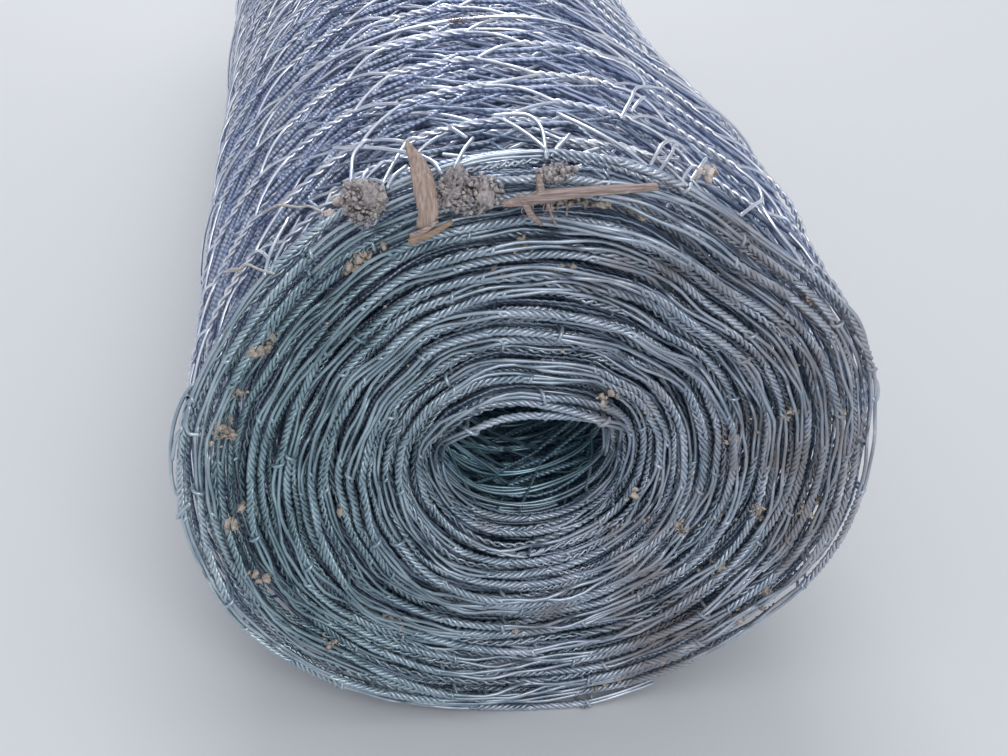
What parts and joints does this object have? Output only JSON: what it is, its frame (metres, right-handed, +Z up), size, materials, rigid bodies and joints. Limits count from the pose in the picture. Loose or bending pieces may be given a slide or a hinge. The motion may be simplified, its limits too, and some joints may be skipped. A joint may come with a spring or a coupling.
{
  "type": "roll of hexagonal wire netting",
  "caption": "Roll of galvanised hexagonal wire fencing, wound on itself round an open bore, lying on its side.",
  "frame": {"origin": "on the floor, under the middle of the roll", "axes": "+Y along the roll's axis, from the end that faces the viewer to the far end; +Z up"},
  "size_m": [0.175, 0.6, 0.1748],
  "materials": {
    "galvanised_wire": "weathered hot-dip galvanised steel wire, dull blue-grey, with soil caught in it"
  },
  "bodies": {
    "root": {"netting_roll": "galvanised_wire"}
  },
  "joints": []
}
